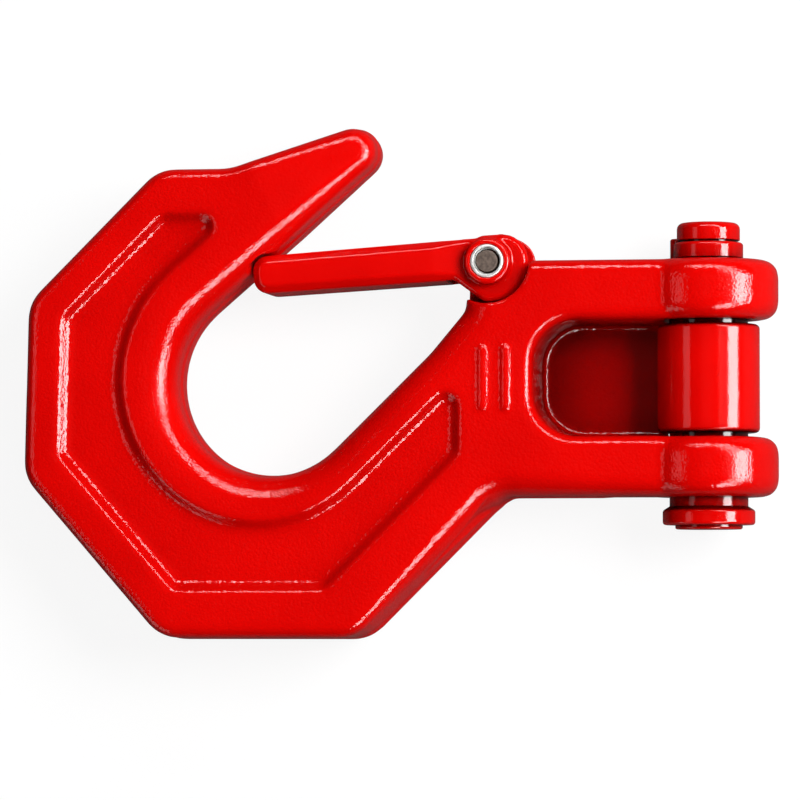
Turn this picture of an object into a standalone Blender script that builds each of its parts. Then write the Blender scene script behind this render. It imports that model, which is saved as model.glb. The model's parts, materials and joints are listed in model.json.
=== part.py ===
"""Clevis hook with a sprung latch, lying flat as on a bench.

A forged hook with an eight-sided back carries a load pin with a roller between the two ears of its fork,
and a latch that a spring round its pivot pin holds shut against the hook's tip.

Plan sizes are measured from the centre of the load pin: X runs away from the bowl, Y across the hook and
Z up through its thickness. A datum empty then sets the middle of the hook's footprint at the origin.
"""
import math

import bmesh
import bpy
from mathutils import Vector

MM = 0.001

# Forged body: thickness and the rounding of its edges
BODY_THICKNESS = 21.0 * MM
OUTER_EDGE_RADIUS = 2.3 * MM
SADDLE_EDGE_RADIUS = 6.0 * MM
NECK_EDGE_RADIUS = 5.5 * MM
ROOT_EDGE_RADIUS = 5.0 * MM
TIP_EDGE_RADIUS = 3.2 * MM

# Bowl and throat
PIN_TO_BOWL = 82.45 * MM
BOWL_DROP = 0.3 * MM
BOWL_RADIUS = 17.75 * MM
SHANK_WALL_ANGLE = 44.4
TIP_WALL_ANGLE = 41.4

# Tip
TIP_REACH = 40.6 * MM
TIP_RADIUS = 4.35 * MM
TIP_BACK_ANGLE = 18.9
TIP_ROOT_RADIUS = 11.0 * MM
TIP_THICKNESS = 15.0 * MM
TIP_TAPER_START = 0.18

# Facets of the eight-sided back: distance of each from the bowl's centre, and the way it faces
LEFT_FACET = 46.05 * MM
UPPER_LEFT_FACET = 43.1 * MM
TOP_FACET = 40.2 * MM
LOWER_LEFT_FACET = 46.8 * MM
BOTTOM_FACET = 48.1 * MM
LOWER_RIGHT_FACET = 46.0 * MM
LEFT_ANGLE = 178.6
UPPER_LEFT_ANGLE = 135.0
LOWER_LEFT_ANGLE = 220.9
LOWER_RIGHT_ANGLE = 315.0
BACK_CORNER_RADIUS = 7.6 * MM
FORK_ROOT_RADIUS = 6.7 * MM

# Recess in both faces: width of the rim left along each edge
RECESS_DEPTH = 2.0 * MM
RECESS_SLOPE_WIDTH = 1.9 * MM
RIM_LEFT = 6.4 * MM
RIM_UPPER_LEFT = 6.3 * MM
RIM_TOP = 8.3 * MM
RIM_LOWER_LEFT = 7.5 * MM
RIM_BOTTOM = 8.6 * MM
RIM_LOWER_RIGHT = 10.0 * MM
RIM_SHANK = 6.7 * MM
RIM_BOWL = 9.0 * MM
RIM_TIP = 9.5 * MM
RECESS_END_TO_PIN = 45.6 * MM
RECESS_CORNER_RADIUS = 2.8 * MM

# Two raised gauge bars on the front face
GAUGE_BAR_LENGTH = 11.8 * MM
GAUGE_BAR_WIDTH = 1.4 * MM
GAUGE_BAR_HEIGHT = 0.6 * MM
GAUGE_BAR_SPACING = 4.3 * MM
GAUGE_BARS_TO_PIN = 39.1 * MM

# Fork
FORK_WIDTH = 44.0 * MM
EAR_GAP = 21.9 * MM
EAR_RADIUS = 13.1 * MM
EAR_EDGE_RADIUS = 3.0 * MM
EAR_PROUD = 0.15 * MM
POCKET_END_TO_PIN = 32.2 * MM
POCKET_CORNER_RADIUS = 8.2 * MM
POCKET_EDGE_RADIUS = 2.0 * MM
POCKET_DRAFT = 0.5 * MM
POCKET_MOUTH_INSET = 0.1 * MM
WEB_THICK_END = 5.0 * MM
WEB_THIN_END = 1.8 * MM
WEB_END_TO_PIN = 8.5 * MM

# Load pin, roller, collar and dowel
PIN_DIAMETER = 14.7 * MM
PIN_FIT = 0.1 * MM
PIN_SPIGOT_DIAMETER = 10.6 * MM
PIN_SHOULDER_DEPTH = 5.0 * MM
HEAD_STANDOFF = 1.7 * MM
HEAD_CONE_HEIGHT = 0.8 * MM
HEAD_DIAMETER = 17.3 * MM
HEAD_HEIGHT = 2.7 * MM
HEAD_BOSS_DIAMETER = 12.6 * MM
HEAD_BOSS_HEIGHT = 0.8 * MM
CAP_DIAMETER = 11.8 * MM
CAP_HEIGHT = 3.4 * MM
CAP_ROUNDING = 1.2 * MM
COLLAR_DIAMETER = 13.0 * MM
COLLAR_HEIGHT = 3.0 * MM
COLLAR_ROUNDING = 0.5 * MM
SEAT_GAP = 0.3 * MM
ROLLER_DIAMETER = 19.1 * MM
ROLLER_END_PLAY = 0.8 * MM
ROLLER_ROUNDING = 1.0 * MM
DOWEL_DIAMETER = 3.4 * MM
DOWEL_TO_AXIS = 8.6 * MM
DOWEL_ANGLE = 225.0
DOWEL_ABOVE_EAR = 4.5 * MM
DOWEL_BELOW_EAR = 9.0 * MM
DOWEL_CHAMFER = 0.4 * MM
DOWEL_FIT = 0.12 * MM

# Latch, measured from its pivot
PIVOT_TO_PIN_X = 40.6 * MM
PIVOT_BELOW_FORK_EDGE = 0.1 * MM
LUG_RADIUS = 4.4 * MM
LUG_THICKNESS = 3.4 * MM
LUG_FLANK_RADIUS = 3.0 * MM
LUG_FOOT_BELOW_PIVOT = 8.9 * MM
NECK_BEND_BEFORE_PIVOT = 19.9 * MM
NECK_BEND_RADIUS = 15.0 * MM
NECK_TOP_RADIUS = 3.0 * MM
RELIEF_RADIUS = 7.9 * MM
LATCH_FALL = 3.8
LATCH_LENGTH = 44.9 * MM
LATCH_TOP_AT_END = 4.4 * MM
LATCH_TOP_AT_ROOT = 4.7 * MM
LATCH_BOTTOM_AT_END = 2.7 * MM
LATCH_BOTTOM_AT_ROOT = 2.95 * MM
LATCH_END_RADIUS = 2.8 * MM
LATCH_THICKNESS = 14.8 * MM
LATCH_BEVEL = 1.4 * MM
LOBE_RADIUS = 5.1 * MM
CHEEK_CLEARANCE = 0.5 * MM
HEEL_ANGLE = 230.0
HEEL_REACH = 6.6 * MM
HEEL_RADIUS = 1.0 * MM
HEEL_TIP_RADIUS = 2.4 * MM
CHEEK_SLOPE_START = 10.5 * MM
CHEEK_SLOPE_END = 4.5 * MM
CHEEK_STEP = 0.6 * MM
CROTCH_DEPTH = 8.5 * MM
CHEEK_GAP = 10.6 * MM
BOSS_RADIUS = 4.3 * MM
BOSS_FACE_TO_FACE = 18.8 * MM
BOSS_ROUNDING = 0.5 * MM
LATCH_SEAT_GAP = 0.35 * MM
SEAT_NOTCH_REACH = 14.0 * MM

# Pivot pin and bushes
LATCH_PIN_DIAMETER = 4.1 * MM
LATCH_PIN_LENGTH = 18.4 * MM
LATCH_PIN_CHAMFER = 0.3 * MM
LATCH_PIN_FIT = 0.08 * MM
BUSH_DIAMETER = 6.2 * MM
BUSH_FIT = 0.05 * MM
BUSH_BORE_FIT = 0.1 * MM
BUSH_MOUTH_CHAMFER = 0.35 * MM
BUSH_PROUD = 0.2 * MM

# Spring: one wire, a coil on each side of the lug, a bridge in the latch's crotch and two legs
WIRE_DIAMETER = 0.7 * MM
COIL_MEAN_RADIUS = 2.9 * MM
COIL_PITCH = 1.15 * MM
COIL_WHOLE_TURNS = 2
SPRING_ARM_FALL = 15.0
SPRING_ARM_INTO_CROTCH = 0.4 * MM
SPRING_LEG_ANGLE = 30.0
SPRING_LEG_LENGTH = 9.6 * MM
SPRING_BEND_RADIUS = 0.9 * MM
SPRING_SIDE_GAP = 0.18 * MM
SPRING_HOLE_FIT = 0.3 * MM

# Fineness of the facets
ARC_STEP = 7.5
EDGE_STEPS = 5
POCKET_EDGE_STEPS = 3
POCKET_EDGE_SWEEP = 72.0
BEVEL_SEGMENTS = 3
TURNED_STEPS = 40
SMALL_TURNED_STEPS = 28
COIL_POINTS_PER_TURN = 10
SMOOTH_ANGLE = 35.0

# Cutters run past what they cut by this much
CUT_OVERRUN = 6.0 * MM

# Points closer than this count as one, or as lying on a line
SAME_POINT = 0.01 * MM

# The plate's square end lies inside the ears, this share of their radius beyond the pin's centre
FORK_END_SHARE = 0.25

# Colours as linear red, green and blue, with roughness and metallic value
RED_COAT = ((0.62, 0.004, 0.003), 0.28, 0.0)
BRIGHT_ZINC = ((0.75, 0.75, 0.74), 0.25, 1.0)
DARK_STEEL = ((0.12, 0.10, 0.09), 0.5, 1.0)
SPRING_STEEL = ((0.35, 0.34, 0.33), 0.35, 1.0)

# Places that several pieces share
HALF_BODY = BODY_THICKNESS / 2
HALF_FORK = FORK_WIDTH / 2
HALF_GAP = EAR_GAP / 2
EAR_FACE = HALF_FORK + EAR_PROUD
PIN = Vector((0.0, 0.0))
BOWL_CENTRE = Vector((-PIN_TO_BOWL, -BOWL_DROP))
PIVOT = Vector((-PIVOT_TO_PIN_X, HALF_FORK - PIVOT_BELOW_FORK_EDGE))
HALF_LATCH = LATCH_THICKNESS / 2
CHEEK_RADIUS = RELIEF_RADIUS - CHEEK_CLEARANCE
HALF_LUG = LUG_THICKNESS / 2
HALF_CHEEK_GAP = CHEEK_GAP / 2


def direction(angle):
    """Unit vector in plan at an angle in degrees."""
    return Vector((math.cos(math.radians(angle)), math.sin(math.radians(angle))))


def face_line(angle, distance, about):
    """Straight edge that faces a given way, at a distance from a point: its normal and its offset."""
    normal = direction(angle)
    return normal, normal.dot(about) + distance


def meet(first, second):
    """Point where two straight edges cross."""
    (n1, c1), (n2, c2) = first, second
    determinant = n1.x * n2.y - n1.y * n2.x
    return Vector(((c1 * n2.y - c2 * n1.y) / determinant, (n1.x * c2 - n2.x * c1) / determinant))


def tip_centre():
    """Centre of the round end of the tip, beside the tip's straight wall."""
    along = direction(TIP_WALL_ANGLE)
    outward = direction(TIP_WALL_ANGLE + 90.0)
    return BOWL_CENTRE + outward * (BOWL_RADIUS + TIP_RADIUS) + along * TIP_REACH


def throat_line(angle, rim):
    """Edge round the bowl, or a line that leaves a rim of metal along it."""
    return face_line(angle, -BOWL_RADIUS - rim, BOWL_CENTRE)


def back_line(angle, distance, rim=0.0):
    """Facet of the eight-sided back, or a line that leaves a rim along it."""
    return face_line(angle, distance - rim, BOWL_CENTRE)


def fillet_reaches(corners):
    """Length of wall that each corner's fillet takes, where two fillets share what their wall has."""
    count = len(corners)
    half_angles = []
    for index, (corner, _, _) in enumerate(corners):
        back = corners[index - 1][0] - corner
        ahead = corners[(index + 1) % count][0] - corner
        half_angles.append(back.angle(ahead) / 2)
    wanted = [radius / math.tan(half) for (_, radius, _), half in zip(corners, half_angles)]
    reaches = list(wanted)
    for index in range(count):
        following = (index + 1) % count
        wall = (corners[following][0] - corners[index][0]).length
        share = min(1.0, wall / max(wanted[index] + wanted[following], SAME_POINT))
        reaches[index] = min(reaches[index], wanted[index] * share)
        reaches[following] = min(reaches[following], wanted[following] * share)
    return reaches, half_angles


def rounded(corners):
    """Outline with an arc at each corner, from (point, fillet radius, value to carry along)."""
    points = []
    count = len(corners)
    reaches, half_angles = fillet_reaches(corners)
    for index, (corner, _, value) in enumerate(corners):
        reach = reaches[index]
        if reach < SAME_POINT:
            points.append((corner, value))
            continue
        back = (corners[index - 1][0] - corner).normalized()
        ahead = (corners[(index + 1) % count][0] - corner).normalized()
        centre = corner + (back + ahead).normalized() * (reach / math.cos(half_angles[index]))
        start = corner + back * reach - centre
        turn = start.angle_signed(corner + ahead * reach - centre)
        steps = max(2, math.ceil(abs(math.degrees(turn)) / ARC_STEP))
        for step in range(steps + 1):
            swing = -turn * step / steps
            cosine, sine = math.cos(swing), math.sin(swing)
            spoke = Vector((start.x * cosine - start.y * sine, start.x * sine + start.y * cosine))
            points.append((centre + spoke, value))
    kept = []
    for point, value in points:
        if not kept or (point - kept[-1][0]).length > SAME_POINT:
            kept.append((point, value))
    return kept


def inset(outline, distances):
    """Outline moved inwards, each point by its own distance. The outline runs anticlockwise."""
    moved = []
    count = len(outline)
    for index, point in enumerate(outline):
        before = (point - outline[index - 1]).normalized()
        after = (outline[(index + 1) % count] - point).normalized()
        normal_before = Vector((-before.y, before.x))
        normal_after = Vector((-after.y, after.x))
        mitre = (normal_before + normal_after) / (1.0 + normal_before.dot(normal_after))
        moved.append(point + mitre * distances[index])
    return moved


def new_object(name, mesh, collection):
    """Object for a mesh, shaded smooth across shallow edges."""
    mesh.shade_smooth()
    mesh.set_sharp_from_angle(angle=math.radians(SMOOTH_ANGLE))
    made = bpy.data.objects.new(name, mesh)
    collection.objects.link(made)
    return made


def loft(name, rings, collection, split=None):
    """Closed solid through rings of equal count, stacked upwards. split joins two points across each cap."""
    bm = bmesh.new()
    loops = [[bm.verts.new(point) for point in ring] for ring in rings]
    count = len(loops[0])
    for lower, upper in zip(loops, loops[1:]):
        for index in range(count):
            following = (index + 1) % count
            bm.faces.new((lower[index], lower[following], upper[following], upper[index]))
    bm.faces.new(reversed(loops[0]))
    bm.faces.new(loops[-1])
    if split:
        for loop in (loops[0], loops[-1]):
            bmesh.ops.connect_verts(bm, verts=[loop[split[0]], loop[split[1]]])
    mesh = bpy.data.meshes.new(name)
    bm.to_mesh(mesh)
    bm.free()
    return new_object(name, mesh, collection)


def flat_ring(outline, height):
    """Ring of points at one height."""
    return [Vector((point.x, point.y, height)) for point in outline]


def box(name, low, high, collection):
    """Box between two corners."""
    bm = bmesh.new()
    bmesh.ops.create_cube(bm, size=1.0)
    for vert in bm.verts:
        vert.co = Vector([low[axis] + (vert.co[axis] + 0.5) * (high[axis] - low[axis]) for axis in range(3)])
    mesh = bpy.data.meshes.new(name)
    bm.to_mesh(mesh)
    bm.free()
    return new_object(name, mesh, collection)


def cylinder(name, radius, low, high, collection, segments=TURNED_STEPS):
    """Cylinder on the local Z axis between two heights."""
    bm = bmesh.new()
    bmesh.ops.create_cone(
        bm, cap_ends=True, segments=segments, radius1=radius, radius2=radius, depth=high - low
    )
    bmesh.ops.translate(bm, verts=bm.verts, vec=(0.0, 0.0, (low + high) / 2))
    mesh = bpy.data.meshes.new(name)
    bm.to_mesh(mesh)
    bm.free()
    return new_object(name, mesh, collection)


def turned(name, profile, collection, steps=TURNED_STEPS):
    """Solid of revolution about the local Z axis, from (radius, height) points that run top to bottom."""
    bm = bmesh.new()
    verts = [bm.verts.new((radius, 0.0, height)) for radius, height in profile]
    for upper, lower in zip(verts, verts[1:]):
        bm.edges.new((upper, lower))
    if profile[0][0] > 0.0:
        bm.edges.new((verts[-1], verts[0]))
    mesh = bpy.data.meshes.new(name)
    bm.to_mesh(mesh)
    bm.free()
    made = new_object(name, mesh, collection)
    screw = made.modifiers.new("Turn", "SCREW")
    screw.steps = steps
    screw.render_steps = steps
    screw.use_merge_vertices = True
    screw.merge_threshold = 0.00001
    screw.use_smooth_shade = True
    return made


def round_edges(made, width):
    """Bevel on every sharp edge."""
    bevel = made.modifiers.new("Rounding", "BEVEL")
    bevel.width = width
    bevel.segments = BEVEL_SEGMENTS
    bevel.limit_method = "ANGLE"
    bevel.angle_limit = math.radians(SMOOTH_ANGLE)
    return made


def boolean(target, tool, operation):
    """Cut a tool out of a piece, or join it on, and mark the tool as a construction object."""
    step = target.modifiers.new(tool.name, "BOOLEAN")
    step.operation = operation
    step.object = tool
    tool.hide_render = True
    tool.display_type = "WIRE"


def cut(target, tool):
    boolean(target, tool, "DIFFERENCE")


def join(target, tool):
    boolean(target, tool, "UNION")


def place(made, parent, location=(0.0, 0.0, 0.0), rotation=(0.0, 0.0, 0.0)):
    """Put an object under its parent."""
    made.parent = parent
    made.location = location
    made.rotation_euler = [math.radians(angle) for angle in rotation]
    return made


def empty(name, collection, parent=None, location=(0.0, 0.0, 0.0), rotation=(0.0, 0.0, 0.0)):
    """Empty that other objects hang on."""
    made = bpy.data.objects.new(name, None)
    collection.objects.link(made)
    return place(made, parent, location, rotation)


def finish(made, name, coat):
    """Give a piece its own material."""
    colour, roughness, metallic = coat
    material = bpy.data.materials.new(name)
    material.use_nodes = True
    shader = material.node_tree.nodes["Principled BSDF"]
    shader.inputs["Base Color"].default_value = (*colour, 1.0)
    shader.inputs["Roughness"].default_value = roughness
    shader.inputs["Metallic"].default_value = metallic
    made.data.materials.append(material)


def body_corners():
    """Corners of the body's outline at mid-thickness, anticlockwise: point, fillet, and edge rounding with
    whether the plate is thinned there.
    """
    left = back_line(LEFT_ANGLE, LEFT_FACET)
    lower_left = back_line(LOWER_LEFT_ANGLE, LOWER_LEFT_FACET)
    bottom = back_line(270.0, BOTTOM_FACET)
    lower_right = back_line(LOWER_RIGHT_ANGLE, LOWER_RIGHT_FACET)
    upper_left = back_line(UPPER_LEFT_ANGLE, UPPER_LEFT_FACET)
    top = back_line(90.0, TOP_FACET)
    fork_bottom = face_line(270.0, HALF_FORK, PIN)
    fork_top = face_line(90.0, HALF_FORK, PIN)
    fork_end = face_line(0.0, EAR_RADIUS * FORK_END_SHARE, PIN)
    lug_flank = face_line(45.0, LUG_RADIUS, PIVOT)
    lug_left = face_line(180.0, LUG_RADIUS, PIVOT)
    shank = throat_line(SHANK_WALL_ANGLE + 90.0, 0.0)
    lug_foot = PIVOT - Vector((LUG_RADIUS, LUG_FOOT_BELOW_PIVOT))
    bowl_end = throat_line(SHANK_WALL_ANGLE, 0.0)
    tip_wall = throat_line(TIP_WALL_ANGLE - 90.0, 0.0)
    tip_back = tip_back_line()
    taper_start = tip_taper_line()
    outer = (OUTER_EDGE_RADIUS, False)
    saddle = (SADDLE_EDGE_RADIUS, False)
    half_way = ((SADDLE_EDGE_RADIUS + TIP_EDGE_RADIUS) / 2, False)
    return [
        (meet(left, lower_left), BACK_CORNER_RADIUS, outer),
        (meet(lower_left, bottom), BACK_CORNER_RADIUS, outer),
        (meet(bottom, lower_right), BACK_CORNER_RADIUS, outer),
        (meet(lower_right, fork_bottom), FORK_ROOT_RADIUS, (ROOT_EDGE_RADIUS, False)),
        (meet(fork_bottom, fork_end), 0.0, outer),
        (meet(fork_end, fork_top), 0.0, outer),
        (meet(fork_top, lug_flank), LUG_FLANK_RADIUS, outer),
        (meet(lug_flank, lug_left), LUG_RADIUS, outer),
        (lug_foot, NECK_TOP_RADIUS, (NECK_EDGE_RADIUS, False)),
        (neck_bend(shank), NECK_BEND_RADIUS, (NECK_EDGE_RADIUS, False)),
        (meet(shank, bowl_end), BOWL_RADIUS, saddle),
        (meet(bowl_end, tip_wall), BOWL_RADIUS, saddle),
        (meet(tip_wall, taper_start), 0.0, half_way),
        (meet(tip_wall, tip_back), TIP_RADIUS, (TIP_EDGE_RADIUS, True)),
        (meet(tip_back, taper_start), 0.0, outer),
        (meet(tip_back, top), TIP_ROOT_RADIUS, outer),
        (meet(top, upper_left), BACK_CORNER_RADIUS, outer),
        (meet(upper_left, left), BACK_CORNER_RADIUS, outer),
    ]


def neck_bend(shank):
    """Point on the shank's wall where the neck turns up towards the lug."""
    normal, offset = shank
    foot = PIVOT - normal * (normal.dot(PIVOT) - offset)
    return foot - direction(SHANK_WALL_ANGLE) * NECK_BEND_BEFORE_PIVOT


def tip_back_line():
    """Back of the tip, tangent to its round end."""
    return face_line(TIP_BACK_ANGLE + 90.0, TIP_RADIUS, tip_centre())


def tip_taper_line():
    """Line across the tip where it starts to thin, a share of the way along its back."""
    root = meet(tip_back_line(), back_line(90.0, TOP_FACET))
    end = tip_centre() + direction(TIP_BACK_ANGLE + 90.0) * TIP_RADIUS
    return face_line((TIP_WALL_ANGLE + TIP_BACK_ANGLE) / 2, 0.0, root.lerp(end, TIP_TAPER_START))


def forged_plate(collection):
    """The hook's plate, its edges rounded by a radius that changes round the outline, thinner at the tip."""
    rounded_outline = rounded(body_corners())
    outline = [point for point, _ in rounded_outline]
    radii = [radius for _, (radius, _) in rounded_outline]
    normal, offset = tip_taper_line()
    taper_length = normal.dot(tip_centre()) - offset + TIP_RADIUS
    thinning = (BODY_THICKNESS - TIP_THICKNESS) / 2 / taper_length
    halves = []
    for point, (_, thinned) in rounded_outline:
        halves.append(HALF_BODY - thinning * (normal.dot(point) - offset) * thinned)
    taper_ends = [index for index, half in enumerate(halves) if half < HALF_BODY]
    across_tip = (taper_ends[0] - 1, taper_ends[-1] + 1)
    rings = []
    for side in (-1.0, 1.0):
        levels = range(EDGE_STEPS + 1)
        for level in reversed(levels) if side < 0.0 else levels:
            angle = math.pi / 2 * level / EDGE_STEPS
            plan = inset(outline, [radius * (1.0 - math.cos(angle)) for radius in radii])
            rise = [half - radius * (1.0 - math.sin(angle)) for half, radius in zip(halves, radii)]
            rings.append([Vector((p.x, p.y, side * height)) for p, height in zip(plan, rise)])
    return loft("hook_body", rings, collection, split=across_tip)


def recess_cutter(name, side, collection):
    """Tapered plug that sinks the recess in one face and leaves the rim round it."""
    left = back_line(LEFT_ANGLE, LEFT_FACET, RIM_LEFT)
    lower_left = back_line(LOWER_LEFT_ANGLE, LOWER_LEFT_FACET, RIM_LOWER_LEFT)
    bottom = back_line(270.0, BOTTOM_FACET, RIM_BOTTOM)
    lower_right = back_line(LOWER_RIGHT_ANGLE, LOWER_RIGHT_FACET, RIM_LOWER_RIGHT)
    upper_left = back_line(UPPER_LEFT_ANGLE, UPPER_LEFT_FACET, RIM_UPPER_LEFT)
    top = back_line(90.0, TOP_FACET, RIM_TOP)
    end = face_line(0.0, -RECESS_END_TO_PIN, PIN)
    shank = throat_line(SHANK_WALL_ANGLE + 90.0, RIM_SHANK)
    bowl_end = throat_line(SHANK_WALL_ANGLE, RIM_BOWL)
    tip_wall = throat_line(TIP_WALL_ANGLE - 90.0, RIM_TIP)
    corner = RECESS_CORNER_RADIUS
    corners = [
        (meet(left, lower_left), corner, 0.0),
        (meet(lower_left, bottom), corner, 0.0),
        (meet(bottom, lower_right), corner, 0.0),
        (meet(lower_right, end), corner, 0.0),
        (meet(end, shank), corner, 0.0),
        (meet(shank, bowl_end), BOWL_RADIUS + RIM_SHANK, 0.0),
        (meet(bowl_end, tip_wall), BOWL_RADIUS + RIM_BOWL, 0.0),
        (meet(tip_wall, top), corner, 0.0),
        (meet(top, upper_left), corner, 0.0),
        (meet(upper_left, left), corner, 0.0),
    ]
    outline = [point for point, _ in rounded(corners)]
    floor = inset(outline, [RECESS_SLOPE_WIDTH] * len(outline))
    mouth = inset(outline, [-RECESS_SLOPE_WIDTH] * len(outline))
    rings = [
        flat_ring(floor, side * (HALF_BODY - RECESS_DEPTH)),
        flat_ring(mouth, side * (HALF_BODY + RECESS_DEPTH)),
    ]
    return loft(name, rings if side > 0.0 else rings[::-1], collection)


def pocket_cutter(collection):
    """Plug that sinks the fork's pocket from the front, flared to round the pocket's front edge."""
    far = EAR_RADIUS + CUT_OVERRUN
    corners = [
        (Vector((-POCKET_END_TO_PIN, -HALF_GAP)), POCKET_CORNER_RADIUS, 0.0),
        (Vector((far, -HALF_GAP)), 0.0, 0.0),
        (Vector((far, HALF_GAP)), 0.0, 0.0),
        (Vector((-POCKET_END_TO_PIN, HALF_GAP)), POCKET_CORNER_RADIUS, 0.0),
    ]
    outline = [point for point, _ in rounded(corners)]
    fall = (WEB_THICK_END - WEB_THIN_END) / (POCKET_END_TO_PIN - WEB_END_TO_PIN)
    floor = []
    for point in inset(outline, [POCKET_DRAFT] * len(outline)):
        web = WEB_THIN_END - fall * (point.x + WEB_END_TO_PIN)
        floor.append(Vector((point.x, point.y, web - HALF_BODY)))
    rings = [floor]
    for step in range(POCKET_EDGE_STEPS + 1):
        angle = math.radians(POCKET_EDGE_SWEEP) * step / POCKET_EDGE_STEPS
        spread = POCKET_EDGE_RADIUS * (1.0 - math.cos(angle)) - POCKET_MOUTH_INSET
        height = HALF_BODY - POCKET_EDGE_RADIUS * (1.0 - math.sin(angle))
        rings.append(flat_ring(inset(outline, [-spread] * len(outline)), height))
    flare = POCKET_EDGE_RADIUS + CUT_OVERRUN
    rings.append(flat_ring(inset(outline, [-flare] * len(outline)), HALF_BODY + CUT_OVERRUN / 2))
    return loft("pocket_plug", rings, collection)


def make_hook_body(pieces, tools, datum, pivot):
    """The forging, with every recess, bore and lug."""
    body = place(forged_plate(pieces), datum)
    for name, side in (("recess_plug_front", 1.0), ("recess_plug_rear", -1.0)):
        cut(body, place(recess_cutter(name, side, tools), datum))
    outside = HALF_BODY + CUT_OVERRUN
    for name, low, high in (("relief_front", HALF_LUG, outside), ("relief_rear", -outside, -HALF_LUG)):
        cut(body, place(cylinder(name, RELIEF_RADIUS, low, high, tools), pivot))
    cut(body, place(pocket_cutter(tools), datum))
    far = EAR_RADIUS + CUT_OVERRUN
    gap = box("ear_gap", (-WEB_END_TO_PIN, -HALF_GAP, -outside), (far, HALF_GAP, outside), tools)
    cut(body, place(gap, datum))
    upright = (-90.0, 0.0, 0.0)
    for name, low, high in (("ear_upper", HALF_GAP, EAR_FACE), ("ear_lower", -EAR_FACE, -HALF_GAP)):
        ear = round_edges(cylinder(name, EAR_RADIUS, low, high, tools), EAR_EDGE_RADIUS)
        join(body, place(ear, datum, rotation=upright))
    bore = PIN_DIAMETER / 2 + PIN_FIT
    spigot_bore = PIN_SPIGOT_DIAMETER / 2 + PIN_FIT
    shoulder = EAR_FACE - PIN_SHOULDER_DEPTH
    pin_bore = turned(
        "pin_bore",
        [
            (0.0, EAR_FACE + CUT_OVERRUN),
            (spigot_bore, EAR_FACE + CUT_OVERRUN),
            (spigot_bore, shoulder + SEAT_GAP),
            (bore, shoulder + SEAT_GAP),
            (bore, -EAR_FACE - CUT_OVERRUN),
            (0.0, -EAR_FACE - CUT_OVERRUN),
        ],
        tools,
    )
    cut(body, place(pin_bore, datum, rotation=upright))
    low = EAR_FACE - DOWEL_BELOW_EAR - SEAT_GAP
    dowel_bore = cylinder(
        "dowel_bore", DOWEL_DIAMETER / 2 + DOWEL_FIT, low, EAR_FACE + CUT_OVERRUN, tools, SMALL_TURNED_STEPS
    )
    cut(body, place(dowel_bore, datum, dowel_foot(), upright))
    pivot_bore = cylinder(
        "pivot_bore", LATCH_PIN_DIAMETER / 2 + LATCH_PIN_FIT, -outside, outside, tools, SMALL_TURNED_STEPS
    )
    cut(body, place(pivot_bore, pivot))
    deep = HALF_LATCH + LATCH_SEAT_GAP
    notch = box(
        "latch_seat",
        (-LATCH_LENGTH - LATCH_SEAT_GAP, -LATCH_LENGTH / 2, -deep),
        (SEAT_NOTCH_REACH - LATCH_LENGTH, LATCH_TOP_AT_END + LATCH_SEAT_GAP, deep),
        tools,
    )
    cut(body, place(notch, pivot))
    for name, side in (("leg_hole_front", 1.0), ("leg_hole_rear", -1.0)):
        start, end = spring_leg(side)
        hole_end = (end - start).normalized() * (SPRING_LEG_LENGTH + SPRING_HOLE_FIT)
        hole = cylinder(
            name, WIRE_DIAMETER / 2 + SPRING_HOLE_FIT, 0.0, hole_end.length, tools, SMALL_TURNED_STEPS // 2
        )
        heading = math.degrees(math.atan2(hole_end.y, hole_end.x))
        cut(body, place(hole, pivot, start, (0.0, 90.0, heading)))
    for index, name in enumerate(("gauge_bar_left", "gauge_bar_right")):
        middle = -GAUGE_BARS_TO_PIN + (index - 0.5) * GAUGE_BAR_SPACING
        half_width, half_length = GAUGE_BAR_WIDTH / 2, GAUGE_BAR_LENGTH / 2
        bar = box(
            name,
            (middle - half_width, -half_length, HALF_BODY - GAUGE_BAR_HEIGHT),
            (middle + half_width, half_length, HALF_BODY + GAUGE_BAR_HEIGHT),
            tools,
        )
        join(body, place(round_edges(bar, GAUGE_BAR_HEIGHT / 2), datum))
    finish(body, "red_coated_forging", RED_COAT)


def dowel_foot():
    """Place of the dowel's axis beside the load pin, behind and towards the bowl."""
    spot = direction(DOWEL_ANGLE) * DOWEL_TO_AXIS
    return Vector((spot.x, 0.0, spot.y))


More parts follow.
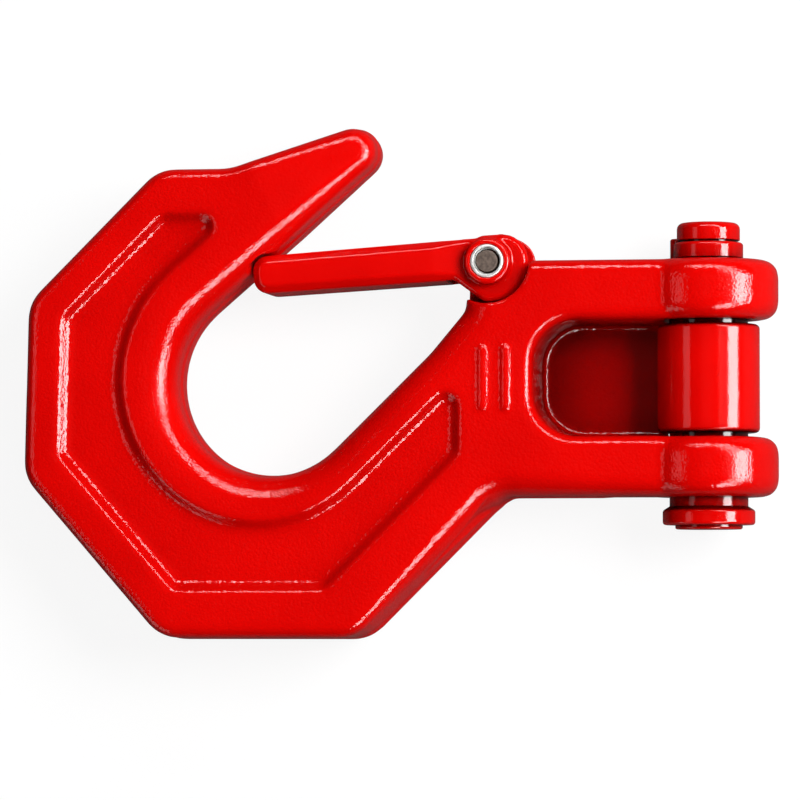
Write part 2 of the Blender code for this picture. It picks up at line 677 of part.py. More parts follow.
def make_load_pin(pieces, tools, datum):
    """Load pin: flanged head below, shank with a keyway, spigot and upset cap above."""
    radius = PIN_DIAMETER / 2
    spigot = PIN_SPIGOT_DIAMETER / 2
    cap = CAP_DIAMETER / 2
    cap_foot = EAR_FACE + SEAT_GAP + COLLAR_HEIGHT + SEAT_GAP
    cap_top = cap_foot + CAP_HEIGHT
    cone_top = -EAR_FACE - HEAD_STANDOFF
    head_top = cone_top - HEAD_CONE_HEIGHT
    head_foot = head_top - HEAD_HEIGHT
    boss_foot = head_foot - HEAD_BOSS_HEIGHT
    chamfer = HEAD_CONE_HEIGHT / 2
    profile = [(0.0, cap_top)]
    for step in range(BEVEL_SEGMENTS + 1):
        angle = math.pi / 2 * step / BEVEL_SEGMENTS
        drop = CAP_ROUNDING * (1.0 - math.cos(angle))
        profile.append((cap - CAP_ROUNDING * (1.0 - math.sin(angle)), cap_top - drop))
    profile += [
        (cap, cap_foot),
        (spigot, cap_foot),
        (spigot, EAR_FACE - PIN_SHOULDER_DEPTH),
        (radius, EAR_FACE - PIN_SHOULDER_DEPTH),
        (radius, cone_top),
        (HEAD_DIAMETER / 2, head_top),
        (HEAD_DIAMETER / 2, head_foot + chamfer),
        (HEAD_DIAMETER / 2 - chamfer, head_foot),
        (HEAD_BOSS_DIAMETER / 2, head_foot),
        (HEAD_BOSS_DIAMETER / 2, boss_foot + chamfer),
        (HEAD_BOSS_DIAMETER / 2 - chamfer, boss_foot),
        (0.0, boss_foot),
    ]
    pin = place(turned("load_pin", profile, pieces), datum, rotation=(-90.0, 0.0, 0.0))
    keyway = cylinder(
        "keyway",
        DOWEL_DIAMETER / 2 + DOWEL_FIT,
        EAR_FACE - DOWEL_BELOW_EAR - SEAT_GAP,
        EAR_FACE,
        tools,
        SMALL_TURNED_STEPS,
    )
    cut(pin, place(keyway, datum, dowel_foot(), (-90.0, 0.0, 0.0)))
    finish(pin, "red_coated_pin", RED_COAT)


def make_pin_collar(pieces, datum):
    """Ring on the upper ear, held down by the pin's cap."""
    outer = COLLAR_DIAMETER / 2
    inner = PIN_SPIGOT_DIAMETER / 2 + PIN_FIT
    foot = EAR_FACE + SEAT_GAP
    top = foot + COLLAR_HEIGHT
    profile = [
        (inner, top),
        (outer - COLLAR_ROUNDING, top),
        (outer, top - COLLAR_ROUNDING),
        (outer, foot),
        (inner, foot),
    ]
    collar = place(turned("pin_collar", profile, pieces), datum, rotation=(-90.0, 0.0, 0.0))
    finish(collar, "red_coated_collar", RED_COAT)


def make_lock_dowel(pieces, datum):
    """Dowel that keys the load pin to the upper ear."""
    radius = DOWEL_DIAMETER / 2
    top = EAR_FACE + DOWEL_ABOVE_EAR
    foot = EAR_FACE - DOWEL_BELOW_EAR
    profile = [
        (0.0, top),
        (radius - DOWEL_CHAMFER, top),
        (radius, top - DOWEL_CHAMFER),
        (radius, foot + DOWEL_CHAMFER),
        (radius - DOWEL_CHAMFER, foot),
        (0.0, foot),
    ]
    dowel = turned("lock_dowel", profile, pieces, SMALL_TURNED_STEPS)
    place(dowel, datum, dowel_foot(), (-90.0, 0.0, 0.0))
    finish(dowel, "red_coated_dowel", RED_COAT)


def make_pin_roller(pieces, datum):
    """Sleeve that turns on the load pin between the ears."""
    outer = ROLLER_DIAMETER / 2
    inner = PIN_DIAMETER / 2 + PIN_FIT
    top = HALF_GAP - ROLLER_END_PLAY
    round_in = ROLLER_ROUNDING * (1.0 - math.sqrt(0.5))
    profile = [
        (inner, top),
        (outer - ROLLER_ROUNDING, top),
        (outer - round_in, top - round_in),
        (outer, top - ROLLER_ROUNDING),
        (outer, ROLLER_ROUNDING - top),
        (outer - round_in, round_in - top),
        (outer - ROLLER_ROUNDING, -top),
        (inner, -top),
    ]
    roller = place(turned("pin_roller", profile, pieces), datum, rotation=(-90.0, 0.0, 0.0))
    finish(roller, "red_coated_roller", RED_COAT)


def latch_bar(collection):
    """Bar and forked end of the latch, as one bevelled plate about the pivot."""
    here = Vector((0.0, 0.0))
    end = face_line(180.0, LATCH_LENGTH, here)
    top_taper = math.degrees(math.atan((LATCH_TOP_AT_ROOT - LATCH_TOP_AT_END) / LATCH_LENGTH))
    bottom_taper = math.degrees(math.atan((LATCH_BOTTOM_AT_ROOT - LATCH_BOTTOM_AT_END) / LATCH_LENGTH))
    bottom = face_line(270.0 - bottom_taper, LATCH_BOTTOM_AT_ROOT, here)
    top = face_line(90.0 + top_taper, LATCH_TOP_AT_ROOT, here)
    heel = face_line(HEEL_ANGLE, HEEL_REACH, here)
    lobe_bottom = face_line(270.0, CHEEK_RADIUS, here)
    lobe_right = face_line(0.0, CHEEK_RADIUS, here)
    lobe_top = face_line(90.0, LOBE_RADIUS, here)
    shoulder = face_line(120.0, LOBE_RADIUS, here)
    corners = [
        (meet(end, bottom), LATCH_END_RADIUS, 0.0),
        (meet(bottom, heel), HEEL_RADIUS, 0.0),
        (meet(heel, lobe_bottom), HEEL_TIP_RADIUS, 0.0),
        (meet(lobe_bottom, lobe_right), CHEEK_RADIUS, 0.0),
        (meet(lobe_right, lobe_top), LOBE_RADIUS, 0.0),
        (meet(lobe_top, shoulder), LOBE_RADIUS, 0.0),
        (meet(shoulder, top), HEEL_RADIUS, 0.0),
        (meet(top, end), LATCH_END_RADIUS, 0.0),
    ]
    outline = [point for point, _ in rounded(corners)]
    face = inset(outline, [LATCH_BEVEL] * len(outline))
    rings = [
        flat_ring(face, -HALF_LATCH),
        flat_ring(outline, LATCH_BEVEL - HALF_LATCH),
        flat_ring(outline, HALF_LATCH - LATCH_BEVEL),
        flat_ring(face, HALF_LATCH),
    ]
    return loft("latch", rings, collection)


def cheek_cutter(name, side, size, collection):
    """Prism that slopes one face of the bar down to the cheek round the pivot."""
    far = CHEEK_RADIUS + CUT_OVERRUN
    over = HALF_LATCH + CUT_OVERRUN
    cheek = HALF_LATCH - CHEEK_STEP
    profile = [
        (-CHEEK_SLOPE_START, HALF_LATCH),
        (-CHEEK_SLOPE_END, cheek),
        (far, cheek),
        (far, over),
        (-CHEEK_SLOPE_START, over),
    ]
    outline = [Vector((run, side * height)) for run, height in profile]
    outline = outline if side > 0.0 else outline[::-1]
    return loft(name, [flat_ring(outline, -size), flat_ring(outline, size)], collection)


def make_latch(pieces, tools, pivot):
    """Latch: bevelled bar, two cheeks either side of the lug, a boss on each cheek."""
    latch = place(latch_bar(pieces), pivot)
    size = CHEEK_RADIUS + LATCH_TOP_AT_ROOT
    for name, side in (("cheek_step_front", 1.0), ("cheek_step_rear", -1.0)):
        cut(latch, place(cheek_cutter(name, side, size, tools), pivot, rotation=(90.0, 0.0, 0.0)))
    reach = BOSS_FACE_TO_FACE / 2
    inner = (HALF_CHEEK_GAP + HALF_LATCH - CHEEK_STEP) / 2
    for name, low, high in (("boss_front", inner, reach), ("boss_rear", -reach, -inner)):
        boss = round_edges(cylinder(name, BOSS_RADIUS, low, high, tools), BOSS_ROUNDING)
        join(latch, place(boss, pivot))
    far = CHEEK_RADIUS + CUT_OVERRUN
    crotch = box("crotch", (-CROTCH_DEPTH, -far, -HALF_CHEEK_GAP), (far, far, HALF_CHEEK_GAP), tools)
    cut(latch, place(crotch, pivot))
    bush_bore = cylinder(
        "bush_bore", BUSH_DIAMETER / 2 + BUSH_FIT, -reach - CUT_OVERRUN, reach + CUT_OVERRUN, tools
    )
    cut(latch, place(bush_bore, pivot))
    bridge = spring_bridge()
    half_slot = WIRE_DIAMETER / 2 + SPRING_HOLE_FIT
    side_reach = bridge.z + half_slot
    groove = box(
        "bridge_groove",
        (bridge.x - half_slot, bridge.y - half_slot, -side_reach),
        (CUT_OVERRUN - CROTCH_DEPTH, bridge.y + half_slot, side_reach),
        tools,
    )
    cut(latch, place(groove, pivot))
    finish(latch, "red_coated_latch", RED_COAT)


def make_latch_pin(pieces, pivot):
    """Pin through the lug, with a chamfer at each end."""
    radius = LATCH_PIN_DIAMETER / 2
    top = LATCH_PIN_LENGTH / 2
    profile = [
        (0.0, top),
        (radius - LATCH_PIN_CHAMFER, top),
        (radius, top - LATCH_PIN_CHAMFER),
        (radius, LATCH_PIN_CHAMFER - top),
        (radius - LATCH_PIN_CHAMFER, -top),
        (0.0, -top),
    ]
    pin = place(turned("latch_pin", profile, pieces, SMALL_TURNED_STEPS), pivot)
    finish(pin, "dark_steel_pin", DARK_STEEL)


def make_latch_bushes(pieces, pivot):
    """Bush in each boss of the latch, running on the pin."""
    outer = BUSH_DIAMETER / 2
    inner = LATCH_PIN_DIAMETER / 2 + BUSH_BORE_FIT
    top = BOSS_FACE_TO_FACE / 2 + BUSH_PROUD
    foot = HALF_CHEEK_GAP
    profile = [
        (inner, top - BUSH_MOUTH_CHAMFER),
        (inner + BUSH_MOUTH_CHAMFER, top),
        (outer, top),
        (outer, foot),
        (inner, foot),
    ]
    for name, turn in (("latch_bush_front", 0.0), ("latch_bush_rear", 180.0)):
        bush = place(turned(name, profile, pieces, SMALL_TURNED_STEPS), pivot, rotation=(turn, 0.0, 0.0))
        finish(bush, name + "_zinc", BRIGHT_ZINC)


def spring_inner_height():
    """Height of the coil's first turn beside the lug."""
    return HALF_LUG + SPRING_SIDE_GAP + WIRE_DIAMETER / 2


def spring_sweep():
    """Angle that each coil winds through, from the arm to the leg, in degrees."""
    return 90.0 + SPRING_ARM_FALL - SPRING_LEG_ANGLE + 360.0 * COIL_WHOLE_TURNS


def spring_bridge():
    """Corner where the spring's front arm turns into the bridge, in the latch's crotch."""
    reach = CROTCH_DEPTH + SPRING_ARM_INTO_CROTCH
    start = direction(90.0 + SPRING_ARM_FALL) * COIL_MEAN_RADIUS
    drop = (reach + start.x) * math.tan(math.radians(SPRING_ARM_FALL))
    return Vector((-reach, start.y - drop, spring_inner_height()))


def spring_leg(side):
    """Start and end of a spring leg, tangent to its coil."""
    start = direction(SPRING_LEG_ANGLE) * COIL_MEAN_RADIUS
    end = start + direction(SPRING_LEG_ANGLE - 90.0) * SPRING_LEG_LENGTH
    height = side * (spring_inner_height() + COIL_PITCH * spring_sweep() / 360.0)
    return Vector((*start, height)), Vector((*end, height))


def spring_half():
    """Points of the front half of the wire, from the middle of the bridge to the end of the leg."""
    corner = spring_bridge()
    arm = direction(180.0 + SPRING_ARM_FALL)
    bend = SPRING_BEND_RADIUS
    points = [Vector((corner.x, corner.y, 0.0))]
    for step in range(4):
        angle = math.pi / 2 * step / 3
        along = bend * (1.0 - math.sin(math.pi / 2 - angle))
        rise = corner.z - bend * (1.0 - math.sin(angle))
        points.append(Vector((corner.x - arm.x * along, corner.y - arm.y * along, rise)))
    sweep = spring_sweep()
    steps = round(COIL_POINTS_PER_TURN * sweep / 360.0)
    for step in range(steps + 1):
        angle = 90.0 + SPRING_ARM_FALL - sweep * step / steps
        spot = direction(angle) * COIL_MEAN_RADIUS
        points.append(Vector((spot.x, spot.y, corner.z + COIL_PITCH * sweep / 360.0 * step / steps)))
    points.append(spring_leg(1.0)[1])
    return points


def print_least_gap(points):
    """Print the least gap between stretches of the wire that are not neighbours."""
    fine = []
    for first, second in zip(points, points[1:]):
        pieces = max(1, math.ceil((second - first).length / (WIRE_DIAMETER / 2)))
        fine += [first.lerp(second, piece / pieces) for piece in range(pieces)]
    run = [0.0]
    for first, second in zip(fine, fine[1:]):
        run.append(run[-1] + (second - first).length)
    turn = math.pi * COIL_MEAN_RADIUS
    least = min(
        (fine[j] - fine[i]).length
        for i in range(len(fine))
        for j in range(i + 1, len(fine))
        if run[j] - run[i] > turn
    )
    print("latch_spring least gap to itself: %.2f mm" % ((least - WIRE_DIAMETER) / MM))


def make_latch_spring(pieces, pivot):
    """Double torsion spring, one unbroken wire."""
    front = spring_half()
    rear = [Vector((point.x, point.y, -point.z)) for point in front[1:]]
    points = front[::-1] + rear
    print_least_gap(points)
    curve = bpy.data.curves.new("latch_spring", "CURVE")
    curve.dimensions = "3D"
    curve.bevel_depth = WIRE_DIAMETER / 2
    curve.bevel_resolution = 1
    curve.use_fill_caps = True
    spline = curve.splines.new("POLY")
    spline.points.add(len(points) - 1)
    for spot, point in zip(spline.points, points):
        spot.co = (*point, 1.0)
    spring = bpy.data.objects.new("latch_spring", curve)
    pieces.objects.link(spring)
    place(spring, pivot)
    finish(spring, "spring_steel", SPRING_STEEL)


def footprint_centre():
    """Middle of the hook's footprint, from the pin's centre."""
    outline = [point for point, _ in rounded(body_corners())]
    back = min(point.x for point in outline)
    bottom = min(point.y for point in outline)
    top = max(point.y for point in outline)
    return Vector(((back + EAR_RADIUS) / 2, (top + bottom) / 2))


def new_collection(name):
    """Collection under the scene."""
    made = bpy.data.collections.new(name)
    bpy.context.scene.collection.children.link(made)
    return made


def main():
    for leftover in list(bpy.data.objects):
        bpy.data.objects.remove(leftover, do_unlink=True)
    pieces = new_collection("clevis_hook")
    tools = new_collection("cutters")
    middle = footprint_centre()
    datum = empty("pin_centre", pieces, location=(-middle.x, -middle.y, EAR_RADIUS))
    pivot = empty("latch_pivot", pieces, datum, (PIVOT.x, PIVOT.y, 0.0), (0.0, 0.0, LATCH_FALL))
    make_hook_body(pieces, tools, datum, pivot)
    make_load_pin(pieces, tools, datum)
    make_pin_collar(pieces, datum)
    make_lock_dowel(pieces, datum)
    make_pin_roller(pieces, datum)
    make_latch(pieces, tools, pivot)
    make_latch_pin(pieces, pivot)
    make_latch_bushes(pieces, pivot)
    make_latch_spring(pieces, pivot)


main()
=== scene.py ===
"""Clevis hook with a sprung latch, lying on a white table and seen from nearly straight above."""
import json
import math

import bmesh
import bpy
from mathutils import Matrix, Vector


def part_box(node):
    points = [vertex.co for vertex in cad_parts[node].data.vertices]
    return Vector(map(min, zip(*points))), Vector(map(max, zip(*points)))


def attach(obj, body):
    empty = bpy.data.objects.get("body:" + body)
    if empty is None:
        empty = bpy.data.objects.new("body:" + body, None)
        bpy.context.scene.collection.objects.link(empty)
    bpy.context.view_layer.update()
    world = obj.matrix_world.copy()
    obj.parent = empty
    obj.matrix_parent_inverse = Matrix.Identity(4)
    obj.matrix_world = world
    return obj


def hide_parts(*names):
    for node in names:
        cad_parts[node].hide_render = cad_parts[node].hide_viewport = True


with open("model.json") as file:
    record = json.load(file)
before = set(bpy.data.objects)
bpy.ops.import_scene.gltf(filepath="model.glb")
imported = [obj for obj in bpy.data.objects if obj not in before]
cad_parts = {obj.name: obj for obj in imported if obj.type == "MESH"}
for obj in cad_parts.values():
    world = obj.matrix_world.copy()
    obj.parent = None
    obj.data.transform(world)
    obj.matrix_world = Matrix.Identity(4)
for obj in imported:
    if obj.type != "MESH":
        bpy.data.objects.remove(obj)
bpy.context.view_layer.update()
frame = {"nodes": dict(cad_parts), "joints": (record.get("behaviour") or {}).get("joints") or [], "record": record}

MM = 0.001

# Height of the hook's middle plane, where the dies meet
MID_HEIGHT = 13.1 * MM

# Camera: a long lens above the hook, a little to the right of it and below it in the picture. Its distance is in
# metres, its angles are in degrees and the hook's place in the frame is in pixels.
CAMERA_DISTANCE = 1.0
CAMERA_YAW = 8.75
CAMERA_PITCH = 2.4
MM_PER_PIXEL = 0.1886
IMAGE_PIXELS = 800
HOOK_RIGHT_OF_MIDDLE = 2.6
HOOK_ABOVE_MIDDLE = 16.6
SENSOR_WIDTH = 36.0

# Keys that give the colour, and soft boxes that gleam on the coat. Bearing and lean from overhead are in degrees.
# A key's last number is its share of full white on a level face. A box's are its width in metres and brightness.
KEYS = (
    ("key_right", 20.0, 42.0, 0.8),
    ("key_top", 80.0, 58.0, 0.12),
    ("key_lower_right", -45.0, 58.0, 0.1),
    ("key_overhead", 45.0, 8.0, 0.06),
    ("fill_lower_left", -135.0, 70.0, 0.035),
)
KEY_DISTANCE = 1.0
KEY_SIZE = 0.45
SOFT_BOXES = (
    ("box_lower_right", -50.0, 52.0, 0.24, 20.0),
    ("box_right", 0.0, 63.0, 0.36, 27.0),
    ("box_upper_right", 45.0, 52.0, 0.2, 14.0),
    ("box_top", 90.0, 48.0, 0.16, 17.0),
    ("box_left", 180.0, 42.0, 0.25, 1.3),
    ("box_lower_left", -135.0, 78.0, 0.3, 2.0),
)
BOX_DISTANCE = 0.9
BOX_LENGTH = 0.55
ROOM_LIGHT = 0.005

# White that the table shows over its own shading, which keeps its shadow pale, and the share that the gloss mirrors
TABLE_SIZE = 6.0
TABLE_LIFT = 0.9
TABLE_IN_GLOSS = 0.05
TABLE_MOTTLE = 30.0 * MM

# Powder coat: orange-peel grain, slow waves in the coat, and clouds of thicker and thinner coat
PEEL_SIZE = 0.5 * MM
WAVE_SIZE = 6.0 * MM
CLOUD_SIZE = 20.0 * MM
# Middle of a noise's values, spread over the whole of what it drives
NOISE_LOW = 0.3
NOISE_HIGH = 0.7
COAT_SMOOTH = 0.2
COAT_ROUGH = 0.3
# Painted shade in hollows: openness of a spot to the air at which the red is painted darkest, and from which it is
# plain
PAINTED_SHADE_DARKEST = 0.42
PAINTED_SHADE_CLEAR = 0.85
PAINTED_SHADE_SAMPLES = 4

# Steel's grain, which is much finer on real plated and drawn steel and is drawn this coarse so that it shows
STEEL_PIT_DEPTH = 0.02 * MM
STEEL_NOISE_LOW = 0.35
STEEL_NOISE_HIGH = 0.65

# Forged pieces: voxel of the skin laid over the solid, passes that round its edges, and the hook's final count
HOOK_SKIN = 0.45 * MM
HOOK_ROUNDING_PASSES = 11
HOOK_TRIANGLES = 190000
LATCH_SKIN = 0.3 * MM
LATCH_ROUNDING_PASSES = 5
EVENING_PASSES = 2
SMOOTHING = 0.5

# Ridge half way up the hook's sides, where the flash was trimmed off. It keeps clear of the latch, bores and pocket.
TRIM_HEIGHT = 0.25 * MM
TRIM_HALF_WIDTH = 1.3 * MM
TRIM_SLOPE = 0.8 * MM
TRIM_FADE = 4.0 * MM
TRIM_STEEPNESS = 0.5
TRIM_NECK_Y = 12.0 * MM
TRIM_EAR_X = 42.0 * MM
TRIM_FROM_LATCH = 20.0 * MM

# Lower right side: a point on it, from which places along it are measured, the way along it towards the fork, the way
# out of it, and how far off it a spot still counts
SIDE_START = Vector((2.9, -35.2)) * MM
SIDE_WAY = Vector((0.75, 0.66)).normalized()
SIDE_OUT = Vector((SIDE_WAY.y, -SIDE_WAY.x))
SIDE_REACH = 7.0 * MM

# Draft of that side, which leans out from either face to the line where the dies meet
DRAFT_OUT = 1.1 * MM
DRAFT_HEIGHT = 8.0 * MM
DRAFT_FROM = -21.0 * MM
DRAFT_TO = 29.0 * MM
DRAFT_FADE = 9.0 * MM
DRAFT_FACING = 0.76

# Shallow hollow in that side, on both halves of the forging, which widens towards the fork
HOLLOW_LENGTH = 20.0 * MM
HOLLOW_HALF_HEIGHT = 3.3 * MM
HOLLOW_FROM_MIDDLE = 5.2 * MM
HOLLOW_DEPTH = 0.9 * MM
HOLLOW_EDGE = 1.5 * MM
HOLLOW_FADE = 4.0 * MM
HOLLOW_FACING = 0.6

# Box round the two gauge bars, which keep crisper edges than the rest of the forging
BARS_BOX = (Vector((15.2, -6.4, 22.0)) * MM, Vector((22.4, 7.3, 26.0)) * MM)

# Axes of the turned pieces: the load pin's lies along Y, the latch pin's stands along Z
JOINT_PLACES = {joint["name"]: Vector(joint["pos_m"]) for joint in frame["joints"]}
PIN_CENTRE = JOINT_PLACES["roller_spin"]
LATCH_CENTRE = Vector((*JOINT_PLACES["latch_pivot"].xy, 0.0))
DOWEL_CENTRE = (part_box("lock_dowel")[0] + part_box("lock_dowel")[1]) / 2
ALONG_Y = (-math.pi / 2, 0.0, 0.0)
ALONG_Z = (0.0, 0.0, 0.0)
TURNED_SIDES = 96
RIM_STEPS = 5
SHARP_ANGLE = 30.0
SAME_PLACE = 0.01 * MM

# Turned pieces in millimetres: (distance along the axis, radius) steps, then (distance, radius, rounding) rims
LOAD_PIN_STEPS = (
    (-28.15, 6.3), (-27.35, 6.3), (-27.35, 8.65), (-24.65, 8.65), (-23.85, 7.35),
    (17.15, 7.35), (17.15, 5.3), (25.75, 5.3), (25.75, 5.9), (29.15, 5.9),
)
LOAD_PIN_RIMS = ((29.15, 5.9, 1.2), (25.75, 5.9, 0.3), (-24.65, 8.65, 0.4), (-27.35, 8.65, 0.6), (-28.15, 6.3, 0.4))
ROLLER_STEPS = ((-10.15, 7.45), (-10.15, 9.55), (10.15, 9.55), (10.15, 7.45))
ROLLER_RIMS = ((-10.15, 9.55, 0.9), (10.15, 9.55, 0.9), (-10.15, 7.45, 0.3), (10.15, 7.45, 0.3))
COLLAR_STEPS = ((22.45, 5.4), (22.45, 6.5), (25.45, 6.5), (25.45, 5.4))
COLLAR_RIMS = ((22.45, 6.5, 0.25), (25.45, 6.5, 0.6))
DOWEL_STEPS = ((-6.75, 1.7), (6.75, 1.7))
DOWEL_RIMS = ((-6.75, 1.7, 0.4), (6.75, 1.7, 0.4))
KEYWAY_STEPS = ((-7.05, 1.82), (2.25, 1.82))
LATCH_PIN_STEPS = ((3.9, 2.05), (22.3, 2.05))
LATCH_PIN_RIMS = ((3.9, 2.05, 0.3), (22.3, 2.05, 0.3))
FRONT_BUSH_STEPS = ((18.4, 2.3), (18.4, 3.1), (22.7, 3.1), (22.7, 2.55), (21.3, 2.55), (21.3, 2.3))
FRONT_BUSH_RIMS = ((22.7, 3.1, 0.25), (22.7, 2.55, 0.1))
REAR_BUSH_STEPS = ((4.9, 2.3), (4.9, 2.55), (3.5, 2.55), (3.5, 3.1), (7.8, 3.1), (7.8, 2.3))
REAR_BUSH_RIMS = ((3.5, 3.1, 0.25), (3.5, 2.55, 0.1))


def linear(hex_colour):
    """Linear colour from an sRGB hex string."""
    channels = [int(hex_colour[start:start + 2], 16) / 255 for start in (0, 2, 4)]
    return tuple(c / 12.92 if c <= 0.04045 else ((c + 0.055) / 1.055) ** 2.4 for c in channels) + (1.0,)


def add(tree, kind, inputs=None, **settings):
    """Add a node with its settings. An input takes another node's output or a plain value."""
    node = tree.nodes.new(kind)
    for key, value in settings.items():
        setattr(node, key, value)
    for key, value in (inputs or {}).items():
        if isinstance(value, bpy.types.NodeSocket):
            tree.links.new(value, node.inputs[key])
        else:
            node.inputs[key].default_value = value
    return node


def finish_named(name, sockets):
    """New material whose shader has these values, with its node tree and shader."""
    material = bpy.data.materials.new(name)
    material.use_nodes = True
    tree = material.node_tree
    shader = tree.nodes["Principled BSDF"]
    for key, value in sockets.items():
        shader.inputs[key].default_value = value
    return material, tree, shader


def red_powder_coat(name, grain_depth, wave_depth, painted_shade_reach, painted_shade_own_hollows_only):
    """Gloss red powder coat over steel.

    It gives an even red with a hard white gleam that breaks into grains, because the coat dries with an
    orange-peel skin. In hollows the red is darkened as painted shade, as far as ambient occlusion finds each spot
    closed in.
    """
    material, tree, shader = finish_named(name, {
        "Coat Weight": 0.6, "Coat IOR": 1.5, "Coat Roughness": 0.1, "Specular IOR Level": 0.0,
    })
    place = add(tree, "ShaderNodeTexCoord").outputs["Object"]
    peel = add(tree, "ShaderNodeTexVoronoi", {"Vector": place, "Scale": 1 / PEEL_SIZE})
    wave = add(tree, "ShaderNodeTexNoise", {"Vector": place, "Scale": 1 / WAVE_SIZE, "Detail": 3.0})
    cloud = add(tree, "ShaderNodeTexNoise", {"Vector": place, "Scale": 1 / CLOUD_SIZE, "Detail": 2.0})
    thick = add(tree, "ShaderNodeMapRange", {
        "Value": cloud.outputs["Fac"], "From Min": NOISE_LOW, "From Max": NOISE_HIGH,
    })
    red = add(tree, "ShaderNodeMixRGB", {
        "Fac": thick.outputs["Result"], "Color1": linear("DA0402"), "Color2": linear("E80603"),
    })
    # Painted shade: the red is darkened towards 240000 wherever ambient occlusion finds a spot closed in
    hollow = add(
        tree, "ShaderNodeAmbientOcclusion", {"Distance": painted_shade_reach},
        samples=PAINTED_SHADE_SAMPLES, only_local=painted_shade_own_hollows_only,
    )
    painted_shade_openness = add(tree, "ShaderNodeMapRange", {
        "Value": hollow.outputs["AO"], "From Min": PAINTED_SHADE_DARKEST, "From Max": PAINTED_SHADE_CLEAR,
    })
    painted_shade_red = add(tree, "ShaderNodeMixRGB", {
        "Fac": painted_shade_openness.outputs["Result"], "Color1": linear("240000"), "Color2": red.outputs["Color"],
    })
    swell = add(tree, "ShaderNodeBump", {"Height": wave.outputs["Fac"], "Distance": wave_depth})
    skin = add(tree, "ShaderNodeBump", {
        "Height": peel.outputs["Distance"], "Distance": grain_depth, "Normal": swell.outputs["Normal"],
    }, invert=True)
    gloss = add(tree, "ShaderNodeMapRange", {
        "Value": wave.outputs["Fac"], "From Min": NOISE_LOW, "From Max": NOISE_HIGH,
        "To Min": COAT_SMOOTH, "To Max": COAT_ROUGH,
    })
    tree.links.new(painted_shade_red.outputs["Color"], shader.inputs["Base Color"])
    tree.links.new(gloss.outputs["Result"], shader.inputs["Roughness"])
    tree.links.new(skin.outputs["Normal"], shader.inputs["Normal"])
    tree.links.new(skin.outputs["Normal"], shader.inputs["Coat Normal"])
    return material


def steel(name, metallic, dark, light, smooth, rough, grain_size):
    """Plated, phosphated or drawn steel: a metal gleam, softened and clouded by a fine grain."""
    material, tree, shader = finish_named(name, {"Metallic": metallic})
    place = add(tree, "ShaderNodeTexCoord").outputs["Object"]
    grain = add(tree, "ShaderNodeTexNoise", {"Vector": place, "Scale": 1 / grain_size, "Detail": 4.0})
    spread = add(tree, "ShaderNodeMapRange", {
        "Value": grain.outputs["Fac"], "From Min": STEEL_NOISE_LOW, "From Max": STEEL_NOISE_HIGH,
    })
    tint = add(tree, "ShaderNodeMixRGB", {
        "Fac": spread.outputs["Result"], "Color1": linear(dark), "Color2": linear(light),
    })
    gloss = add(tree, "ShaderNodeMapRange", {
        "Value": grain.outputs["Fac"], "From Min": STEEL_NOISE_LOW, "From Max": STEEL_NOISE_HIGH,
        "To Min": smooth, "To Max": rough,
    })
    pits = add(tree, "ShaderNodeBump", {"Height": grain.outputs["Fac"], "Distance": STEEL_PIT_DEPTH})
    tree.links.new(tint.outputs["Color"], shader.inputs["Base Color"])
    tree.links.new(gloss.outputs["Result"], shader.inputs["Roughness"])
    tree.links.new(pits.outputs["Normal"], shader.inputs["Normal"])
    return material


def white_table_top():
    """Matt white laminate, whose faint mottle softens the shadow."""
    material, tree, shader = finish_named("matt_white_laminate", {"Roughness": 0.9, "Specular IOR Level": 0.0})
    shader.inputs["Emission Color"].default_value = linear("FFFFFF")
    place = add(tree, "ShaderNodeTexCoord").outputs["Object"]
    mottle = add(tree, "ShaderNodeTexNoise", {"Vector": place, "Scale": 1 / TABLE_MOTTLE})
    shade = add(tree, "ShaderNodeMixRGB", {
        "Fac": mottle.outputs["Fac"], "Color1": linear("5E5E5E"), "Color2": linear("626262"),
    })
    rays = add(tree, "ShaderNodeLightPath")
    seen = add(tree, "ShaderNodeMath", {0: rays.outputs["Is Camera Ray"], 1: rays.outputs["Is Transmission Ray"]})
    shown = add(tree, "ShaderNodeMath", {
        0: rays.outputs["Is Glossy Ray"], 1: TABLE_IN_GLOSS, 2: seen.outputs["Value"],
    }, operation="MULTIPLY_ADD")
    lift = add(tree, "ShaderNodeMath", {0: shown.outputs["Value"], 1: TABLE_LIFT}, operation="MULTIPLY")
    tree.links.new(shade.outputs["Color"], shader.inputs["Base Color"])
    tree.links.new(lift.outputs["Value"], shader.inputs["Emission Strength"])
    return material


def select_only(piece):
    """Make one object the only selected one."""
    bpy.ops.object.select_all(action="DESELECT")
    piece.select_set(True)
    bpy.context.view_layer.objects.active = piece


def apply_modifier(piece, name, kind, **values):
    """Add a modifier, set it and apply it."""
    modifier = piece.modifiers.new(name, kind)
    for key, value in values.items():
        setattr(modifier, key, value)
    select_only(piece)
    bpy.ops.object.modifier_apply(modifier=name)


def hand_over(piece, node, material):
    """Let a finished piece stand for a CAD node and move with the node's body."""
    piece.data.materials.clear()
    piece.data.materials.append(material)
    bodies = frame["record"]["behaviour"]["bodies"]
    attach(piece, next(body for body, nodes in bodies.items() if node in nodes))
    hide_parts(node)


